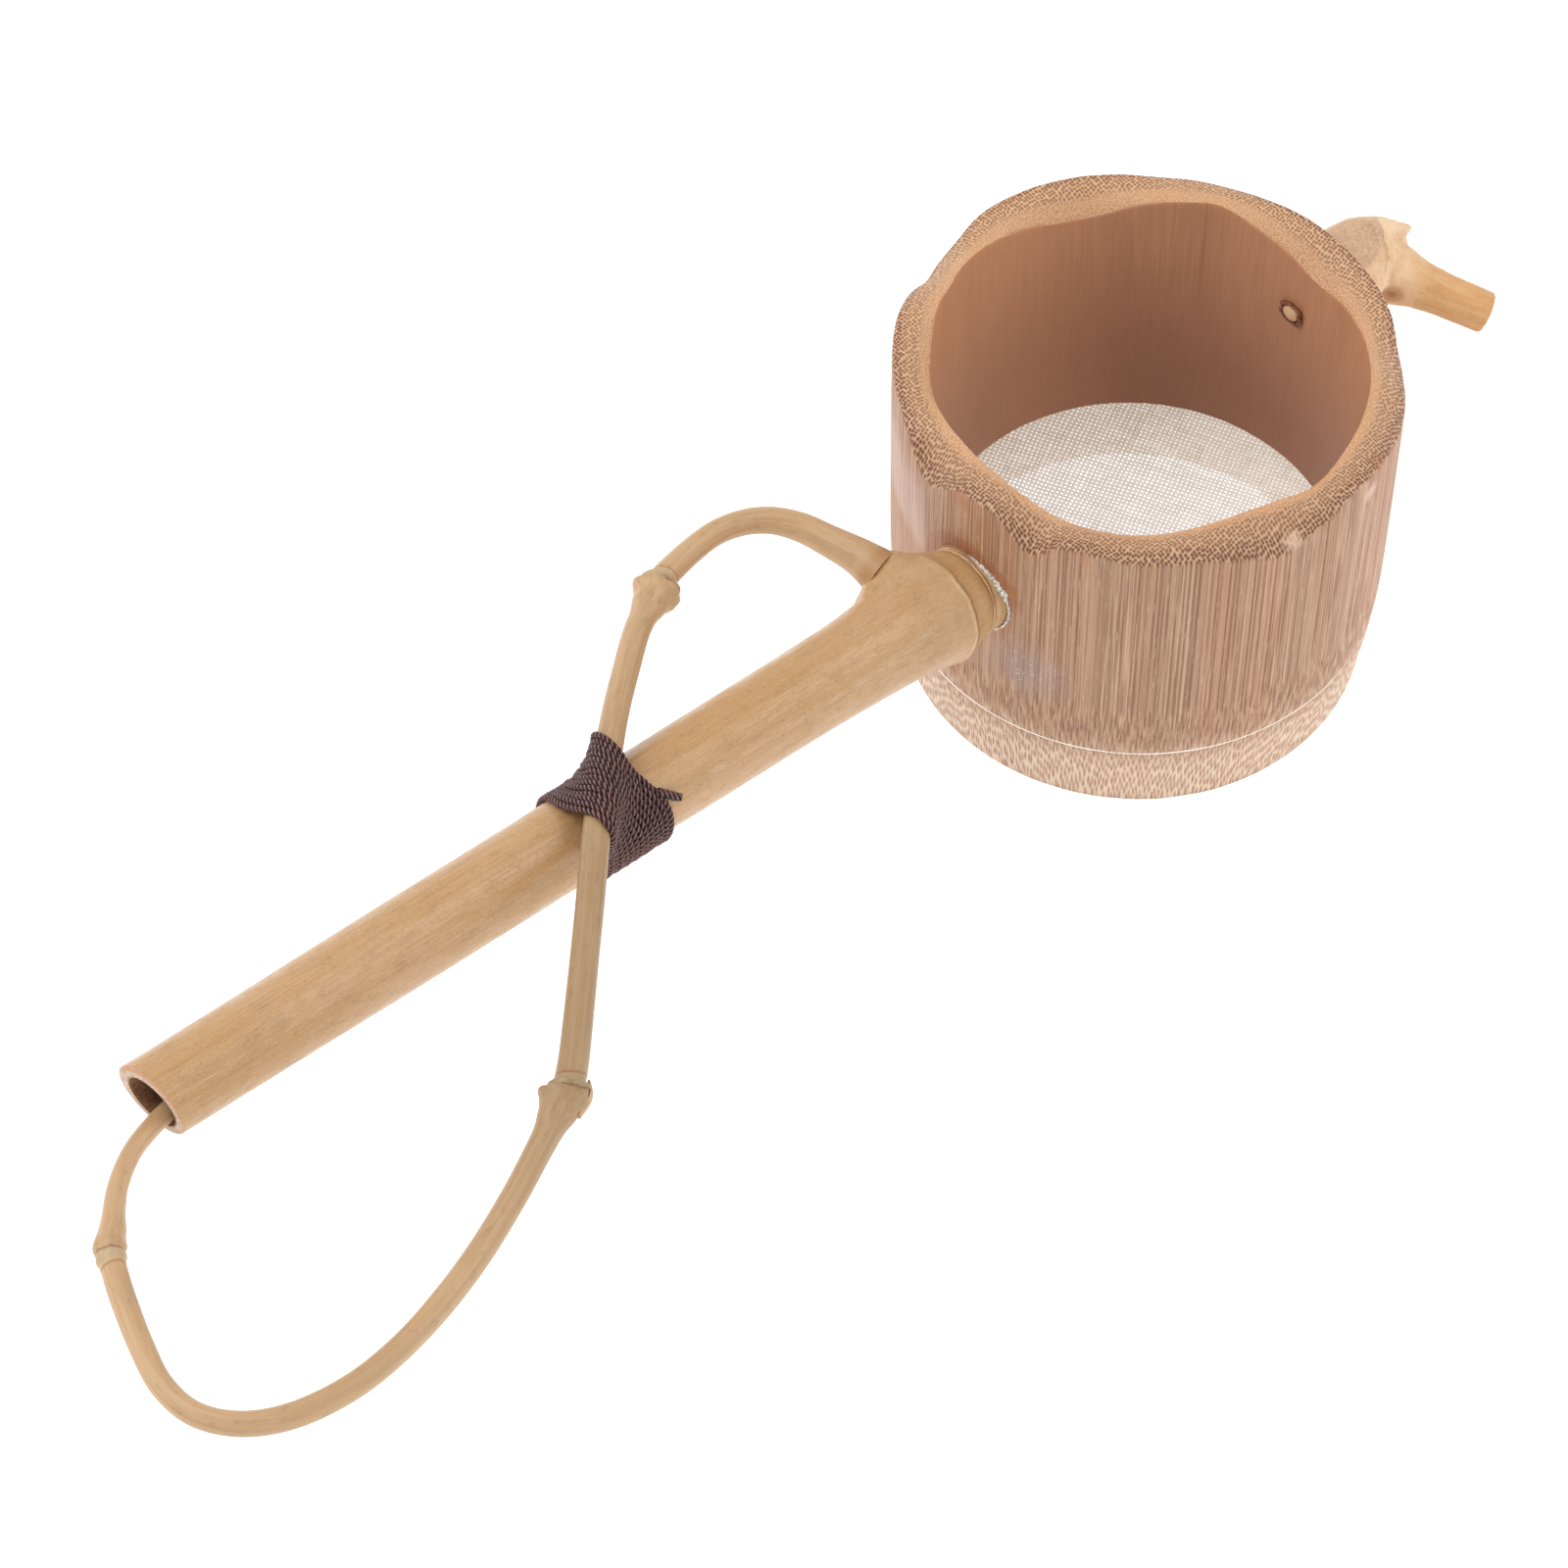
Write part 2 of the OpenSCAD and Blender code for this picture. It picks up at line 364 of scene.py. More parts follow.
class Finish:
    """A material made of nodes that node() adds."""

    def __init__(self, name, roughness, **constants):
        self.material = bpy.data.materials.new(name)
        self.material.use_nodes = True
        self.tree = self.material.node_tree
        self.shader = self.tree.nodes["Principled BSDF"]
        self.shader.inputs["Roughness"].default_value = roughness
        for socket, value in constants.items():
            self.shader.inputs[socket.replace("_", " ")].default_value = value

    def node(self, kind, settings=None, inputs=None, output=0):
        """Adds a node with its settings, and the values or links of its sockets."""
        node = self.tree.nodes.new(kind)
        for key, value in (settings or {}).items():
            setattr(node, key, value)
        for key, value in (inputs or {}).items():
            self.plug(value, node.inputs[key])
        return Reading(self, node.outputs[output])

    def plug(self, value, socket):
        if isinstance(value, Reading):
            self.tree.links.new(value.socket, socket)
        else:
            socket.default_value = value

    def set(self, **values):
        for socket, value in values.items():
            self.plug(value, self.shader.inputs[socket.replace("_", " ")])

    # places on the piece, in millimetres

    def place(self, location=(0, 0, 0), turn=(0, 0, 0)):
        here = self.node("ShaderNodeTexCoord", output="Object")
        return self.node("ShaderNodeMapping", {"vector_type": "TEXTURE"},
                         {"Vector": here, "Location": location, "Rotation": turn, "Scale": (MM,) * 3})

    def handle_place(self):
        """Place on the handle: up, to the side, and out along its line."""
        return self.place(metres((0, 0, HANDLE_Z)), (0, HANDLE_TURN, 0))

    def grain(self):
        """Place on a straightened rod: towards its top, to its side, and along it."""
        return self.node("ShaderNodeAttribute", {"attribute_name": "grain"}, output="Vector")

    def split(self, place):
        node = self.node("ShaderNodeSeparateXYZ", None, {0: place}).socket.node
        return [Reading(self, socket) for socket in node.outputs]

    def join(self, x, y, z=0.0):
        return self.node("ShaderNodeCombineXYZ", None, {0: x, 1: y, 2: z})

    def stretch(self, place, scale):
        return self.node("ShaderNodeVectorMath", {"operation": "MULTIPLY"}, {0: place, 1: scale})

    def shift(self, place, by):
        return self.node("ShaderNodeVectorMath", {"operation": "ADD"}, {0: place, 1: by})

    def far(self, place, point):
        """Distance from a point."""
        return self.node("ShaderNodeVectorMath", {"operation": "DISTANCE"}, {0: place, 1: point},
                         output="Value")

    # patterns

    def cloud(self, place, scale=1.0, detail=2.0, rough=0.5, colour=False):
        """Soft noise. Three scales instead of one stretch it."""
        if isinstance(scale, tuple):
            place, scale = self.stretch(place, scale), 1.0
        return self.node("ShaderNodeTexNoise", None,
                         {"Vector": place, "Scale": scale, "Detail": detail, "Roughness": rough},
                         output=1 if colour else 0)

    def cells(self, place, random, output="Distance"):
        return self.node("ShaderNodeTexVoronoi", {"voronoi_dimensions": "2D"},
                         {"Vector": place, "Scale": 1.0, "Randomness": random}, output=output)

    def rise(self, value, low, high, start=0.0, end=1.0):
        """A smooth change from start to end as the value goes from low to high."""
        return self.node("ShaderNodeMapRange", {"interpolation_type": "SMOOTHSTEP"},
                         {0: value, 1: low, 2: high, 3: start, 4: end})

    def mix(self, amount, first, second, way="MIX"):
        return self.node("ShaderNodeMix", {"data_type": "RGBA", "blend_type": way},
                         {0: amount, 6: first, 7: second}, output=2)

    def layers(self, colour, *layers):
        """Lays thin colours over a first one. Each layer says where it lies and its tint."""
        for where, dye in layers:
            colour = self.mix(where, colour, tint(*dye))
        return colour

    def shade(self, colour, red, green, blue):
        return self.mix(1.0, colour, (red, green, blue, 1), "MULTIPLY")

    def bump(self, height, distance, strength):
        return self.node("ShaderNodeBump", None,
                         {"Height": height, "Distance": distance * MM, "Strength": strength})


def tint(red, green, blue):
    """A colour from its strengths out of 255, as a paint chart gives them."""
    chart = [c / 255 for c in (red, green, blue)]
    return tuple(c / 12.92 if c < 0.04045 else ((c + 0.055) / 1.055) ** 2.4 for c in chart) + (1,)


# place, size, colour and strength of each stain
STAINS = [
    ((-34.1, 0.7, 53.5), 3.2, (164, 100, 66), 0.55),
    ((-7.4, -33.2, 52.5), 2.6, (232, 196, 170), 0.7),
    ((9.4, -32.7, 54.0), 2.4, (164, 96, 60), 0.5),
    ((7.2, -33.4, 50.6), 2.6, (226, 190, 178), 0.6),
    ((-29.6, -16.7, 53.5), 2.2, (176, 120, 84), 0.4),
    ((-33.2, -7.9, 41.0), 1.5, (178, 104, 54), 0.45),
]
# The side branch's line from the node to its tip: distance out along the handle, distance
# to the side, height above the handle's line, radius
BRANCH_COURSE = [
    (44.4, 6.7, 4.4, 3.2), (45.2, 10.6, 5.0, 2.5), (46.4, 14.8, 5.2, 2.15), (47.8, 18.6, 5.5, 2.0),
    (50.4, 21.6, 6.0, 1.85), (54, 23.4, 6.4, 1.75), (58.5, 24, 6.8, 1.7), (63.5, 23.4, 7.1, 1.75),
    (69, 22.2, 7.3, 1.85), (71, 21.4, 7.4, 1.9), (73, 20.4, 7.4, 1.85), (79.5, 17, 7.6, 1.8),
    (86, 12.4, 7.75, 1.8), (92, 7.9, 7.85, 1.8), (98, 3.0, 7.9, 1.85), (104, -2.1, 7.9, 1.85),
    (110.5, -7.9, 7.8, 1.85), (117, -14, 7.5, 1.85), (123.5, -20, 7.1, 1.85), (130, -26, 6.4, 1.9),
    (135, -30.5, 6, 1.95), (138.5, -33.2, 5.7, 2.0), (141.5, -34.8, 5.4, 1.9), (147, -37.4, 5, 1.7),
    (154, -40.6, 4.5, 1.65), (162, -43.8, 4.1, 1.65), (170, -46.3, 3.7, 1.65), (178, -48.0, 3.3, 1.6),
    (186, -48.5, 2.9, 1.6), (193.5, -47.2, 2.5, 1.6), (199, -44.2, 2.2, 1.55), (202.2, -39.6, 2, 1.5),
    (202.4, -34, 1.8, 1.5), (200.4, -28, 1.5, 1.55), (197.6, -21.6, 1.2, 1.6), (195.6, -17.6, 1.1, 1.6),
    (194, -14.8, 1, 1.6), (191.6, -12.4, 0.8, 1.5), (187, -7.8, 0.3, 1.3), (182, -4.4, -0.3, 1.25),
    (177, -2.4, -0.8, 1.25), (172, -1.4, -0.8, 1.25), (165, -0.6, -0.5, 1.2),
]
# station, shift, height, and how much the scar leans towards the branch's top and side
BRANCH_NODES = ((9, 1.8, 1.45, 0.10, 0.05), (21, 0.6, 1.2, 0.30, 0.22), (36, 0.0, 0.55, 0.0, 0.0))


def branch_course():
    """The branch's line in the handle's own directions, and its nodes as (place, height,
    lean, lean)."""
    stations = [(h, s, u, r) for u, s, h, r in BRANCH_COURSE]
    course, marks, at_station = smooth_course(stations, 0.45)
    return course, marks, [(at_station[i] + shift, *rest) for i, shift, *rest in BRANCH_NODES]


def long_grain(f, place, across, bundles):
    """Streaks of the wall, which the flare of the foot cuts into pale dashes, and painted shade that
    makes one side of the wall and of the foot darker.
    """
    x, y, z = f.split(place)
    each, heart, web, fibre = bundles
    broad = f.cloud(across, (0.12, 0.12, 0), detail=2)
    thin = f.cloud(across, (5.5, 5.5, 0), detail=1)
    line = f.rise(f.cloud(across, (2.6, 2.6, 0), detail=1), 0.58, 0.66)
    dash = f.rise(f.cloud(f.join(x * 5.5, y * 5.5, z * 0.3), detail=1), 0.62, 0.70)
    foot = f.rise(z, 17, 7)
    wall = f.layers(
        f.mix(f.rise(broad, 0.35, 0.65), tint(202, 152, 118), tint(190, 153, 120)),
        (heart * (0.15 + each * 0.5), (134, 88, 70)),
        (f.rise(thin, 0.46, 0.34) * 0.55, (138, 94, 76)),
        (f.rise(thin, 0.55, 0.66) * 0.5, (226, 190, 158)),
        (f.rise(fibre, 0.42, 0.62) * 0.45, (150, 104, 88)),
        (web * 0.45, (216, 182, 152)),
        (line * 0.62, (232, 202, 172)),
        (dash * 0.38, (236, 214, 196)),
        (foot * 0.55, (232, 198, 168)),
        (foot * web * 0.5, (244, 216, 186)),
        (foot * heart * (0.4 + each * 0.4), (172, 118, 88)),
    )
    # painted shade: the wall is darker towards -x and lighter towards +x, and the foot darker towards
    # its -x, +y side
    wall_side_shade = f.mix(f.rise(x, -8, 26), f.shade(wall, 0.71, 0.64, 0.56), f.shade(wall, 0.81, 0.70, 0.62))
    foot_side_shade = f.mix(f.rise(y - x, 5, 42), f.shade(wall, 0.90, 0.95, 0.99), f.shade(wall, 0.80, 0.85, 0.92))
    return f.mix(foot, wall_side_shade, foot_side_shade)


def end_grain(f, place, across, bundles):
    """Dots of the carved rim, and the fine golden zone by the bore, with painted shade on the rim's near
    side.
    """
    x, y, _ = f.split(place)
    _, heart, web, fibre = bundles
    depth = f.far(f.join(x, y), (0.42, 0.43, 0)) + f.cloud(place, 0.35) * 0.9
    golden = f.rise(depth, 31.75, 30.55)
    skin = f.rise(depth, 32.6, 34.2)
    chip = f.layers(
        f.mix(skin, tint(206, 158, 116), tint(178, 130, 96)),
        (web * 0.75, (236, 198, 154)),
        (heart * f.rise(skin, 0, 1, 0.62, 0.9), (112, 72, 54)),
    )
    # painted shade: the rim's chips are a darker copy on the near side, towards -x and -y
    front_shade = f.rise(x * 0.7 + y * 0.7, 4, -22)
    chip = f.mix(front_shade, f.shade(chip, 0.81, 0.78, 0.775), f.shade(chip, 0.72, 0.70, 0.70))
    fine = f.cells(f.stretch(across, (3.1, 3.1, 0)), 0.9)
    grit = f.cloud(place, (2.4, 2.4, 1.2), detail=3, rough=0.8)
    gold = f.layers(
        f.mix(f.rise(fibre, 0.35, 0.7), tint(217, 174, 134), tint(205, 158, 117)),
        (f.rise(fine, 0.36, 0.18) * 0.75, (172, 112, 62)),
        (f.rise(grit, 0.50, 0.64) * 0.5, (182, 132, 84)),
    )
    return f.mix(golden, chip, f.shade(gold, 0.93, 0.91, 0.90))


def wear_and_bore_light(f, place, fibre, colour):
    """Stains, glue and chafed patches on the cup, and painted light on the inside of the base ring,
    which is painted near white.
    """
    x, y, z = f.split(place)
    up, side, _ = f.split(f.handle_place())
    ragged = f.cloud(place, 0.7, detail=3)
    bore = f.rise((x * x + y * y) ** 0.5, 30.3, 29.7) * f.rise(z, 12.6, 12.3)
    collar = f.far(f.join(up, side), (*NECK, 0)) + ragged * 3.2
    glued = f.rise(collar, 11.2, 9.8) * f.rise(x, -20, -30) * f.rise(up + side * 0.25, -1, 3)
    bare = f.rise(y, 8.4, 9.2) * f.rise(z, 33, 37) * f.rise(z, 52, 44) * f.rise(x, -8, -26)
    rub = f.rise(f.far(place, (-31.9, -10.2, 26.5)) + ragged * 5, 10.5, 4.5)
    crumbs = f.rise(f.cloud(place, 2.6, detail=3, rough=0.7), 0.60, 0.68) * rub
    colour = f.layers(
        colour,
        # painted light: the base ring's bore is painted near white, as if lit from below
        (bore, (255, 250, 240)),
        (glued * f.rise(fibre, 0.3, 0.6, 0.3, 0.7), (150, 88, 54)),
        (bare * 0.30, (206, 186, 182)),
        (rub * 0.34, (150, 134, 134)),
        (crumbs * 0.6, (228, 220, 216)),
    )
    for spot, size, dye, strength in STAINS:
        near = f.rise(f.far(place, spot) + ragged * size * 0.7, size * 1.15, size * 0.45)
        colour = f.layers(colour, (near * strength, dye))
    return colour


def cut_bamboo():
    """Shaved and carved wood of the cup: upright bundles of fibre, which show as streaks
    on the wall and as dots where the knife went across them. They flare towards the foot."""
    f = Finish("cut_bamboo", 0.55)
    place = f.place()
    x, y, z = f.split(place)
    drift = f.cloud(place, (0.35, 0.35, 0.012), detail=1)
    flare = 1 + (f.rise(z, 25, -3) * 3.2 + f.rise(z, 15, -3) * 2.6 + drift * 1.6) / 34
    across = f.join(x * flare, y * flare)
    cell = f.stretch(across, (1.95, 1.95, 0))
    gap = f.cells(cell, 0.42)
    each = f.split(f.cells(cell, 0.42, output="Color"))[0]
    heart = f.rise(gap, 0.38, 0.24)
    web = f.rise(gap, 0.44, 0.58)
    fibre = f.cloud(across, (4.2, 4.2, 0), detail=2, rough=0.8)
    bundles = (each, heart, web, fibre)

    knife = f.node("ShaderNodeAttribute", {"attribute_name": "knife"}, output="Fac")
    dust = f.rise(f.cloud(place, 5, detail=2, rough=0.8), 0.62, 0.78)
    colour = f.mix(knife, long_grain(f, place, across, bundles), end_grain(f, place, across, bundles))
    colour = f.layers(colour, (dust * 0.16, (240, 226, 216)))
    f.set(Base_Color=wear_and_bore_light(f, place, fibre, colour),
          Normal=f.bump(web * 0.5 - heart * 0.5 + fibre * 0.2, 0.05, 0.5),
          Roughness=f.rise(heart, 0, 1, 0.5, 0.68))
    return f


def inner_skin():
    """Smooth brown wall inside the cup, with fine upright streaks, painted shade that darkens it towards
    the bottom, and painted light on its far left side.
    """
    f = Finish("inner_skin", 0.5)
    place = f.place()
    x, y, z = f.split(place)
    streak = f.cloud(place, (4.0, 4.0, 0.03), detail=3, rough=0.7)
    broad = f.cloud(place, (0.14, 0.14, 0.015), detail=2)
    crack = f.rise(f.far(f.join(x, y), (25.4, 13.8, 0)), 0.35, 0.15) * f.rise(z, 34, 40)
    colour = f.layers(
        f.mix(f.rise(streak, 0.3, 0.7), tint(188, 139, 105), tint(204, 153, 119)),
        (f.rise(broad, 0.4, 0.7) * 0.22, (160, 112, 86)),
        # painted shade: darker towards the bottom of the cup
        (f.rise(z, 52, 16) * 0.8, (144, 98, 74)),
        # painted light: lighter on the far left side of the inside wall
        (f.rise(y - x * 0.3, 12, 27) * 0.38, (222, 168, 126)),
        (crack * 0.2, (110, 72, 54)),
    )
    colour = f.shade(colour, 0.96, 0.89, 0.82)
    f.set(Base_Color=colour, Normal=f.bump(streak, 0.04, 0.3))
    return f


def culm_skin():
    """Cured skin of the handle, with the rings of its node and neck, and an uneven polish. Its colour
    also holds a painted sheen near the node, a painted highlight on the node's ridge with painted shade
    in the groove beside it, and painted light on the neck.
    """
    f = Finish("culm_skin", 0.42, Coat_Roughness=0.22)
    place = f.handle_place()
    _, side, out = f.split(place)
    streak = f.cloud(place, (3.6, 3.6, 0.09), detail=4, rough=0.75)
    broad = f.cloud(place, (0.14, 0.14, 0.03), detail=3)
    blotch = f.cloud(place, (0.55, 0.55, 0.3), detail=5, rough=0.7)
    speck = f.cloud(place, (3.6, 3.6, 2.2), detail=3, rough=0.8)
    shaky = out + (f.cloud(place, 0.5, detail=3) - 0.5) * 0.8
    # painted highlight: a pale band near the node, partly scratched skin and partly painted sheen
    scratches_and_sheen = f.rise(abs(shaky - 42.5), 3.2, 0.8) * f.rise(speck, 0.4, 0.7)
    # painted highlight on the node's ridge and painted shade in the groove beside it, on the side
    # towards the camera only
    camera_side = f.rise(side, 1.5, -3.5)
    neck = f.rise(shaky, 39.8, 38.6)
    ridge_highlight = f.rise(abs(shaky - 40.62), 0.30, 0.08) * camera_side
    groove_shade = f.rise(abs(shaky - 40.15), 0.26, 0.08) * camera_side
    colour = f.layers(
        f.mix(f.rise(broad, 0.35, 0.65), tint(216, 176, 130), tint(208, 166, 112)),
        (f.rise(streak, 0.42, 0.62) * 0.45, (186, 142, 96)),
        (f.rise(blotch, 0.50, 0.72) * 0.42, (176, 140, 92)),
        (f.rise(speck, 0.56, 0.66) * 0.5, (158, 114, 68)),
        (f.rise(speck, 0.42, 0.32) * 0.3, (240, 206, 160)),
        (scratches_and_sheen * 0.5, (232, 206, 172)),
        (neck * f.rise(blotch, 0.42, 0.62) * 0.5, (170, 132, 82)),
        (neck * f.rise(speck, 0.5, 0.4) * 0.5, (226, 182, 126)),
        # painted light: the neck is lightened against the shade its shape gets
        (neck * 0.35, (240, 202, 150)),
        (ridge_highlight * 0.6, (238, 206, 166)),
        (groove_shade * 0.45, (140, 98, 58)),
    )
    for at, dye in ((36.65, (232, 186, 134)), (37.15, (226, 176, 122))):
        colour = f.layers(colour, (f.rise(abs(shaky - at), 0.24, 0.10) * 0.75, dye))
    for at in (36.40, 36.90):
        colour = f.layers(colour, (f.rise(abs(shaky - at), 0.16, 0.06) * 0.7, (132, 82, 46)))
    colour = f.shade(colour, 0.76, 0.715, 0.65)
    polish = f.cloud(place, (5, 5, 0.35), detail=3, rough=0.8)
    f.set(Base_Color=colour, Coat_Weight=f.rise(polish, 0.40, 0.66, 0.0, 0.8),
          Roughness=f.rise(blotch, 0.3, 0.7, 0.36, 0.52),
          Normal=f.bump(streak + blotch * 0.6, 0.05, 0.4))
    return f


def culm_end():
    """Sawn end and hollow of the handle, with painted shade that darkens the hollow further in."""
    f = Finish("culm_end", 0.7)
    place = f.handle_place()
    up, side, out = f.split(place)
    fibre = f.cloud(place, (2.2, 2.2, 1.2), detail=4, rough=0.7)
    radius = (up * up + side * side) ** 0.5
    chipped = f.rise(radius + fibre * 2, 5.6, 6.2) * f.rise(up - side * 0.6, -1, 2)
    sawn = f.layers(
        f.mix(f.rise(fibre, 0.35, 0.65), tint(176, 146, 124), tint(226, 204, 182)),
        (chipped * 0.7, (206, 132, 74)),
        (f.rise(up, -1.5, -4) * f.rise(fibre, 0.4, 0.6) * 0.6, (128, 96, 78)),
    )
    hollow = f.rise(radius, 4.15, 3.8) * f.rise(out, 45, 50)
    # painted shade: the hollow darkens further in from the sawn end
    hollow_shade = f.layers(
        f.mix(f.rise(out, 178, 170), tint(176, 132, 94), tint(104, 58, 42)),
        (f.rise(fibre, 0.48, 0.6) * 0.5, (84, 48, 34)),
    )
    f.set(Base_Color=f.mix(hollow, sawn, hollow_shade), Normal=f.bump(fibre, 0.25, 0.8))
    return f


def branch_skin():
    """Skin of the side branch: grey-brown, with pale and dark rings at its nodes."""
    f = Finish("branch_skin", 0.45)
    grain = f.grain()
    top, side, run = f.split(grain)
    streak = f.cloud(grain, (2.2, 2.2, 0.07), detail=4, rough=0.7)
    broad = f.cloud(grain, (0.3, 0.3, 0.05), detail=3)
    blotch = f.cloud(grain, (1.0, 1.0, 0.5), detail=4, rough=0.7)
    colour = f.layers(
        f.mix(f.rise(streak, 0.35, 0.65), tint(204, 164, 120), tint(216, 180, 138)),
        (f.rise(broad, 0.45, 0.7) * 0.5, (186, 152, 112)),
        (f.rise(blotch, 0.54, 0.72) * 0.4, (162, 126, 88)),
    )
    for knot, _, lean_top, lean_side in branch_course()[2]:
        shaky = run - knot + 0.75 - top * lean_top - side * lean_side + (blotch - 0.5) * 0.7
        colour = f.layers(
            colour,
            (f.rise(abs(shaky), 2.6, 0.8) * 0.35, (184, 150, 104)),
            (f.rise(abs(shaky + 1.0), 1.1, 0.6) * 0.45, (206, 186, 152)),
            (f.rise(abs(shaky + 2.1), 0.26, 0.10) * 0.6, (178, 112, 66)),
            (f.rise(abs(shaky), 0.26, 0.08) * 0.6, (140, 88, 52)),
        )
    colour = f.layers(colour, (f.rise(run + blotch, 3.4, 1.6) * 0.6, (178, 122, 66)))
    # the branch is darker along the middle of its length than at its two ends
    middle_stretch = f.rise(abs(run - 105), 66, 14)
    colour = f.mix(middle_stretch, f.shade(colour, 0.80, 0.785, 0.76), f.shade(colour, 0.565, 0.55, 0.505))
    f.set(Base_Color=colour, Normal=f.bump(streak + blotch, 0.05, 0.5))
    return f


def root_skin():
    """Root end of a culm: pale, with a rough grey-brown patch by the cup, long grain on
    the stub and an orange scar under the bud."""
    f = Finish("root_skin", 0.58)
    place = f.place()
    x, y, z = f.split(place)
    blotch = f.cloud(place, 0.4, detail=4, rough=0.65)
    crumb = f.cloud(place, 2.4, detail=4, rough=0.75)
    on_stub = f.place(metres(STUB_ROOT), tuple(aimed(STUB_AIM).to_euler()))
    out = f.split(on_stub)[2]
    streak = f.cloud(on_stub, (2.0, 2.0, 0.10), detail=4, rough=0.7)
    knot = f.layers(
        f.mix(f.rise(blotch, 0.35, 0.65), tint(218, 180, 138), tint(232, 202, 166)),
        (f.rise(crumb, 0.55, 0.72) * 0.4, (196, 150, 104)),
    )
    stub = f.layers(
        f.mix(f.rise(streak, 0.35, 0.65), tint(204, 154, 98), tint(216, 172, 120)),
        (f.rise(blotch, 0.45, 0.65) * 0.35, (190, 134, 78)),
    )
    colour = f.mix(f.rise(out + blotch * 3, 4.5, 11.0), knot, stub)
    edge = x - (y + 3) * 0.7 + (blotch - 0.5) * 3
    rind = f.rise(edge, 43.6, 43.1) * f.rise(z + (blotch - 0.5) * 3, 46.0, 46.5)
    bark = f.mix(f.rise(crumb, 0.4, 0.66), tint(210, 178, 144), tint(186, 150, 120))
    seam = f.rise(abs(edge - 43.4), 0.40, 0.12) * f.rise(z, 43.5, 45)
    from_bud = f.far(place, BUD)
    colour = f.layers(
        f.mix(rind, colour, bark),
        (seam * 0.35, (160, 112, 72)),
        (f.rise(from_bud + crumb * 1.8, 3.4, 2.2) * 0.6, (176, 112, 62)),
        (f.rise(from_bud, 1.3, 0.7) * 0.7, (96, 54, 34)),
    )
    colour = f.shade(colour, 0.955, 0.925, 0.91)
    f.set(Base_Color=colour, Normal=f.bump(blotch + crumb * (0.25 + rind * 0.4), 0.25, 0.7))
    return f


def woven_linen():
    """Open plain weave of linen thread, with slubs and uneven gaps. The threads glow faintly: painted
    light for the light that shines through them.
    """
    # painted light: a faint glow of the threads stands in for light shining through them
    f = Finish("woven_linen", 0.9, Emission_Color=(1, 0.95, 0.88, 1), Emission_Strength=0.06)
    place = f.place()
    x, y, _ = f.split(place)
    sway = f.cloud(place, (0.09,) * 3, detail=3, colour=True)
    bow = f.split(f.shift(sway, (-0.5,) * 3))
    turn = math.radians(WEAVE_TURN)
    along = (x * math.cos(turn) + y * math.sin(turn) + bow[0] * 1.2) / THREAD_PITCH
    across = (y * math.cos(turn) - x * math.sin(turn) + bow[1] * 1.2) / THREAD_PITCH
    a = abs(along.sum("FRACT", along) - 0.5) * 2
    b = abs(across.sum("FRACT", across) - 0.5) * 2
    slub_a = f.cloud(f.join(along.sum("FLOOR", along) * 3.7, across * 0.10, 0.0), detail=2)
    slub_b = f.cloud(f.join(along * 0.10, across.sum("FLOOR", across) * 3.7, 5.0), detail=2)
    thread_a = f.rise(0.26 + slub_a * 0.55 - (1 - a), -0.10, 0.10)
    thread_b = f.rise(0.26 + slub_b * 0.55 - (1 - b), -0.10, 0.10)
    edge = f.rise((x * x + y * y) ** 0.5, 32.4, 33.0)
    tone = f.layers(
        f.mix(f.rise(slub_a, 0.35, 0.7), tint(244, 240, 236), tint(232, 224, 214)),
        (f.rise(slub_b, 0.5, 0.8) * 0.6, (216, 188, 156)),
        (edge, (246, 238, 228)),
    )
    solid = thread_a.sum("MAXIMUM", thread_a, thread_b) * 0.50 + thread_a * thread_b * 0.12
    f.set(Base_Color=tone, Alpha=solid.sum("MAXIMUM", solid, edge),
          Normal=f.bump(thread_a + thread_b, 0.12, 0.6))
    return f


def waxed_cord():
    """Dark twisted cord with its wax worn off in places, with painted shade between its plies and
    painted glints on their crests.
    """
    f = Finish("waxed_cord", 0.6, Specular_IOR_Level=0.2)
    grain = f.grain()
    fuzz = f.cloud(grain, (3, 3, 1.2), detail=3, rough=0.7)
    top, side, run = f.split(grain)
    round_it = top.sum("ARCTAN2", side, top)
    ply = round_it.sum("COSINE", (round_it - run * (TAU / CORD_LAY)) * PLIES)
    place = f.place()
    worn = f.cloud(place, 0.25, detail=3, rough=0.6)
    wisp = f.cloud(place, (2.2, 2.2, 2.2), detail=3, rough=0.8)
    colour = f.layers(
        f.mix(f.rise(fuzz, 0.3, 0.7), tint(50, 26, 30), tint(82, 50, 52)),
        (f.rise(worn, 0.45, 0.62) * 0.5, (100, 58, 50)),
        (f.rise(wisp, 0.58, 0.72) * 0.4, (176, 152, 146)),
        # painted shade in the grooves between the plies
        (f.rise(ply, -0.1, -0.8) * 0.9, (30, 14, 18)),
        # painted glints on the crests of the plies
        (f.rise(ply + fuzz, 1.1, 1.45) * 0.75, (158, 128, 122)),
    )
    f.set(Base_Color=colour, Normal=f.bump(fuzz, 0.08, 0.8))
    return f


def pale_glue():
    """Dried glue of the handle, pale on the near side and stained on the far one."""
    f = Finish("pale_glue", 0.6)
    place = f.place()
    side = f.split(place)[1]
    crumb = f.cloud(place, 2.5, detail=4, rough=0.7)
    colour = f.layers(
        f.mix(f.rise(crumb, 0.35, 0.6), tint(150, 130, 112), tint(240, 236, 230)),
        (f.rise(side + crumb * 2, -2.0, 1.5), (150, 106, 70)),
    )
    f.set(Base_Color=colour, Normal=f.bump(crumb, 0.2, 0.8))
    return f


